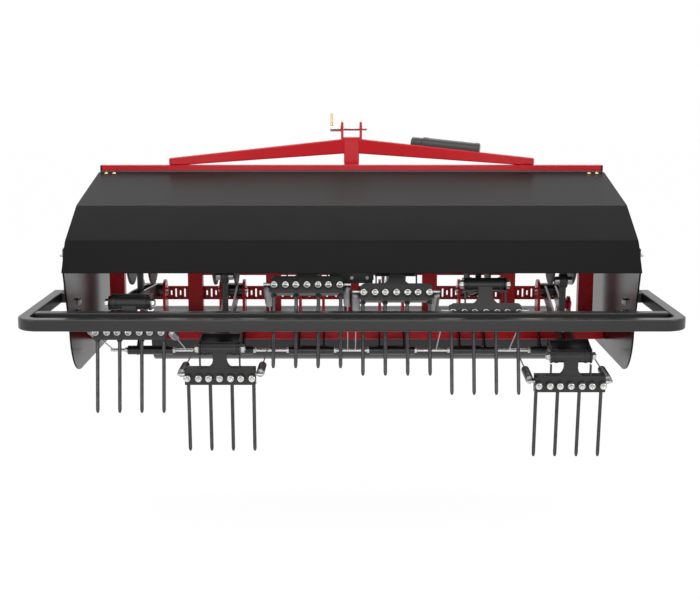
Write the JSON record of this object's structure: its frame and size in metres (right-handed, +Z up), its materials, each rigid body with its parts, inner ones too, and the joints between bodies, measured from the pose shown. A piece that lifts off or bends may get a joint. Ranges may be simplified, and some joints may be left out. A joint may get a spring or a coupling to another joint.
{
  "type": "tractor-mounted deep tine aerator",
  "caption": "Three-point-hitch turf aerator: crank-driven swing arms push rows of solid tines into the ground behind a depth roller.",
  "frame": {"origin": "midway between the two lower hitch pins, on their common axis", "axes": "+Z up, +Y forward to the tractor, +X to the right seen from behind"},
  "size_m": [2.214, 1.1798, 1.1924],
  "materials": {
    "black_casting": "matt",
    "black_paint": "satin",
    "black_plastic": "moulded",
    "machined_steel": "machined",
    "red_paint": "gloss",
    "spring_steel": "plain",
    "tine_steel": "blackened",
    "zinc": "zinc plated"
  },
  "bodies": {
    "root": {"gearbox": "black_casting", "guard_bracket_left": "black_paint", "guard_bracket_right": "black_paint", "headstock": "red_paint", "hitch_frame": "red_paint", "hood_hinge_rod": "zinc", "lower_hitch_pin_left": "zinc", "lower_hitch_pin_right": "zinc", "main_frame": "red_paint", "manual_tube": "black_plastic", "rear_guard": "black_paint", "side_plate_left": "black_paint", "side_plate_right": "black_paint", "slotted_bar": "red_paint", "spring_anchor_bar": "black_paint", "top_beam": "red_paint"},
    "hood": {"hood": "black_paint"},
    "crankshaft": {"crankshaft": "machined_steel"},
    "input_shaft": {"input_shaft": "machined_steel"},
    "roller_arms": {"roller_arm_left": "red_paint", "roller_arm_right": "red_paint"},
    "depth_roller": {"depth_roller": "black_paint"},
    "top_link_pin": {"top_link_pin": "zinc"},
    "manual_tube_cap": {"manual_tube_cap": "black_plastic"},
    "swing_arm_1": {"swing_arm_1": "black_paint", "return_spring_1_left": "spring_steel", "return_spring_1_right": "spring_steel"},
    "connecting_rod_1": {"connecting_rod_1": "black_casting"},
    "tine_head_1": {"tine_head_1": "black_casting", "tine_set_1": "tine_steel"},
    "swing_arm_2": {"swing_arm_2": "black_paint", "return_spring_2_left": "spring_steel", "return_spring_2_right": "spring_steel"},
    "connecting_rod_2": {"connecting_rod_2": "black_casting"},
    "tine_head_2": {"tine_head_2": "black_casting", "tine_set_2": "tine_steel"},
    "swing_arm_3": {"swing_arm_3": "black_paint", "return_spring_3_left": "spring_steel", "return_spring_3_right": "spring_steel"},
    "connecting_rod_3": {"connecting_rod_3": "black_casting"},
    "tine_head_3": {"tine_head_3": "black_casting", "tine_set_3": "tine_steel"},
    "swing_arm_4": {"swing_arm_4": "black_paint", "return_spring_4_left": "spring_steel", "return_spring_4_right": "spring_steel"},
    "connecting_rod_4": {"connecting_rod_4": "black_casting"},
    "tine_head_4": {"tine_head_4": "black_casting", "tine_set_4": "tine_steel"},
    "swing_arm_5": {"swing_arm_5": "black_paint", "return_spring_5_left": "spring_steel", "return_spring_5_right": "spring_steel"},
    "connecting_rod_5": {"connecting_rod_5": "black_casting"},
    "tine_head_5": {"tine_head_5": "black_casting", "tine_set_5": "tine_steel"},
    "swing_arm_6": {"swing_arm_6": "black_paint", "return_spring_6_left": "spring_steel", "return_spring_6_right": "spring_steel"},
    "connecting_rod_6": {"connecting_rod_6": "black_casting"},
    "tine_head_6": {"tine_head_6": "black_casting", "tine_set_6": "tine_steel"}
  },
  "joints": [
    {"name": "hood_hinge", "type": "hinge", "parent": "root", "child": "hood", "pos_m": [0, -0.2767, 0.365], "axis": [-1, 0, 0], "range_deg": [0, 70]},
    {"name": "crank_spin", "type": "hinge", "parent": "root", "child": "crankshaft", "pos_m": [0, -0.62, 0.1], "axis": [1, 0, 0], "continuous": true},
    {"name": "input_spin", "type": "hinge", "parent": "root", "child": "input_shaft", "pos_m": [0, -0.62, 0.1], "axis": [0, 1, 0], "continuous": true},
    {"name": "roller_height", "type": "hinge", "parent": "root", "child": "roller_arms", "pos_m": [0, -0.38, -0.135], "axis": [1, 0, 0], "range_deg": [-10, 12]},
    {"name": "roller_spin", "type": "hinge", "parent": "roller_arms", "child": "depth_roller", "pos_m": [0, -0.16, -0.2925], "axis": [1, 0, 0], "continuous": true},
    {"name": "top_link_pin_slide", "type": "slide", "parent": "root", "child": "top_link_pin", "axis": [-1, 0, 0], "range_m": [0, 0.12]},
    {"name": "manual_tube_cap_slide", "type": "slide", "parent": "root", "child": "manual_tube_cap", "axis": [-0.9733, 0.208, 0.0966], "range_m": [0, 0.06]},
    {"name": "arm_swing_1", "type": "hinge", "parent": "root", "child": "swing_arm_1", "pos_m": [-0.762, -0.38, -0.08], "axis": [1, 0, 0], "range_deg": [-17.95, 22.05], "deforming": ["return_spring_1_left", "return_spring_1_right"]},
    {"name": "rod_swing_1", "type": "hinge", "parent": "swing_arm_1", "child": "connecting_rod_1", "pos_m": [-0.762, -0.67906, -0.05623], "axis": [1, 0, 0], "range_deg": [-22.05, 17.95]},
    {"name": "head_tilt_1", "type": "hinge", "parent": "swing_arm_1", "child": "tine_head_1", "pos_m": [-0.762, -0.90833, -0.038], "axis": [1, 0, 0], "range_deg": [-6.61, 5.39]},
    {"name": "arm_swing_2", "type": "hinge", "parent": "root", "child": "swing_arm_2", "pos_m": [-0.4572, -0.38, -0.08], "axis": [1, 0, 0], "range_deg": [-35.59, 4.41], "deforming": ["return_spring_2_left", "return_spring_2_right"]},
    {"name": "rod_swing_2", "type": "hinge", "parent": "swing_arm_2", "child": "connecting_rod_2", "pos_m": [-0.4572, -0.67221, -0.14793], "axis": [1, 0, 0], "range_deg": [-4.41, 35.59]},
    {"name": "head_tilt_2", "type": "hinge", "parent": "swing_arm_2", "child": "tine_head_2", "pos_m": [-0.4572, -0.89624, -0.2], "axis": [1, 0, 0], "range_deg": [-1.32, 10.68]},
    {"name": "arm_swing_3", "type": "hinge", "parent": "root", "child": "swing_arm_3", "pos_m": [-0.1524, -0.38, -0.08], "axis": [1, 0, 0], "range_deg": [-1.26, 38.74], "deforming": ["return_spring_3_left", "return_spring_3_right"]},
    {"name": "rod_swing_3", "type": "hinge", "parent": "swing_arm_3", "child": "connecting_rod_3", "pos_m": [-0.1524, -0.65962, 0.02868], "axis": [1, 0, 0], "range_deg": [-38.74, 1.26]},
    {"name": "head_tilt_3", "type": "hinge", "parent": "swing_arm_3", "child": "tine_head_3", "pos_m": [-0.1524, -0.874, 0.112], "axis": [1, 0, 0], "range_deg": [-11.62, 0.38]},
    {"name": "arm_swing_4", "type": "hinge", "parent": "root", "child": "swing_arm_4", "pos_m": [0.1524, -0.38, -0.08], "axis": [1, 0, 0], "range_deg": [-3.91, 36.09], "deforming": ["return_spring_4_left", "return_spring_4_right"]},
    {"name": "rod_swing_4", "type": "hinge", "parent": "swing_arm_4", "child": "connecting_rod_4", "pos_m": [0.1524, -0.66434, 0.01566], "axis": [1, 0, 0], "range_deg": [-36.09, 3.91]},
    {"name": "head_tilt_4", "type": "hinge", "parent": "swing_arm_4", "child": "tine_head_4", "pos_m": [0.1524, -0.88233, 0.089], "axis": [1, 0, 0], "range_deg": [-10.83, 1.17]},
    {"name": "arm_swing_5", "type": "hinge", "parent": "root", "child": "swing_arm_5", "pos_m": [0.4572, -0.38, -0.08], "axis": [1, 0, 0], "range_deg": [-10.96, 29.04], "deforming": ["return_spring_5_left", "return_spring_5_right"]},
    {"name": "rod_swing_5", "type": "hinge", "parent": "swing_arm_5", "child": "connecting_rod_5", "pos_m": [0.4572, -0.67394, -0.02], "axis": [1, 0, 0], "range_deg": [-29.04, 10.96]},
    {"name": "head_tilt_5", "type": "hinge", "parent": "swing_arm_5", "child": "tine_head_5", "pos_m": [0.4572, -0.89929, 0.026], "axis": [1, 0, 0], "range_deg": [-8.71, 3.29]},
    {"name": "arm_swing_6", "type": "hinge", "parent": "root", "child": "swing_arm_6", "pos_m": [0.762, -0.38, -0.08], "axis": [1, 0, 0], "range_deg": [-38.83, 1.17], "deforming": ["return_spring_6_left", "return_spring_6_right"]},
    {"name": "rod_swing_6", "type": "hinge", "parent": "swing_arm_6", "child": "connecting_rod_6", "pos_m": [0.762, -0.6679, -0.16434], "axis": [1, 0, 0], "range_deg": [-1.17, 38.83]},
    {"name": "head_tilt_6", "type": "hinge", "parent": "swing_arm_6", "child": "tine_head_6", "pos_m": [0.762, -0.88862, -0.229], "axis": [1, 0, 0], "range_deg": [-0.35, 11.65]}
  ],
  "couplings": [
    {"joint": "input_spin", "follows": "crank_spin", "ratio": 2},
    {"joint": "rod_swing_1", "follows": "arm_swing_1", "ratio": -1},
    {"joint": "rod_swing_2", "follows": "arm_swing_2", "ratio": -1},
    {"joint": "rod_swing_3", "follows": "arm_swing_3", "ratio": -1},
    {"joint": "rod_swing_4", "follows": "arm_swing_4", "ratio": -1},
    {"joint": "rod_swing_5", "follows": "arm_swing_5", "ratio": -1},
    {"joint": "rod_swing_6", "follows": "arm_swing_6", "ratio": -1},
    {"joint": "head_tilt_1", "follows": "arm_swing_1", "ratio": -0.3},
    {"joint": "head_tilt_2", "follows": "arm_swing_2", "ratio": -0.3},
    {"joint": "head_tilt_3", "follows": "arm_swing_3", "ratio": -0.3},
    {"joint": "head_tilt_4", "follows": "arm_swing_4", "ratio": -0.3},
    {"joint": "head_tilt_5", "follows": "arm_swing_5", "ratio": -0.3},
    {"joint": "head_tilt_6", "follows": "arm_swing_6", "ratio": -0.3}
  ]
}
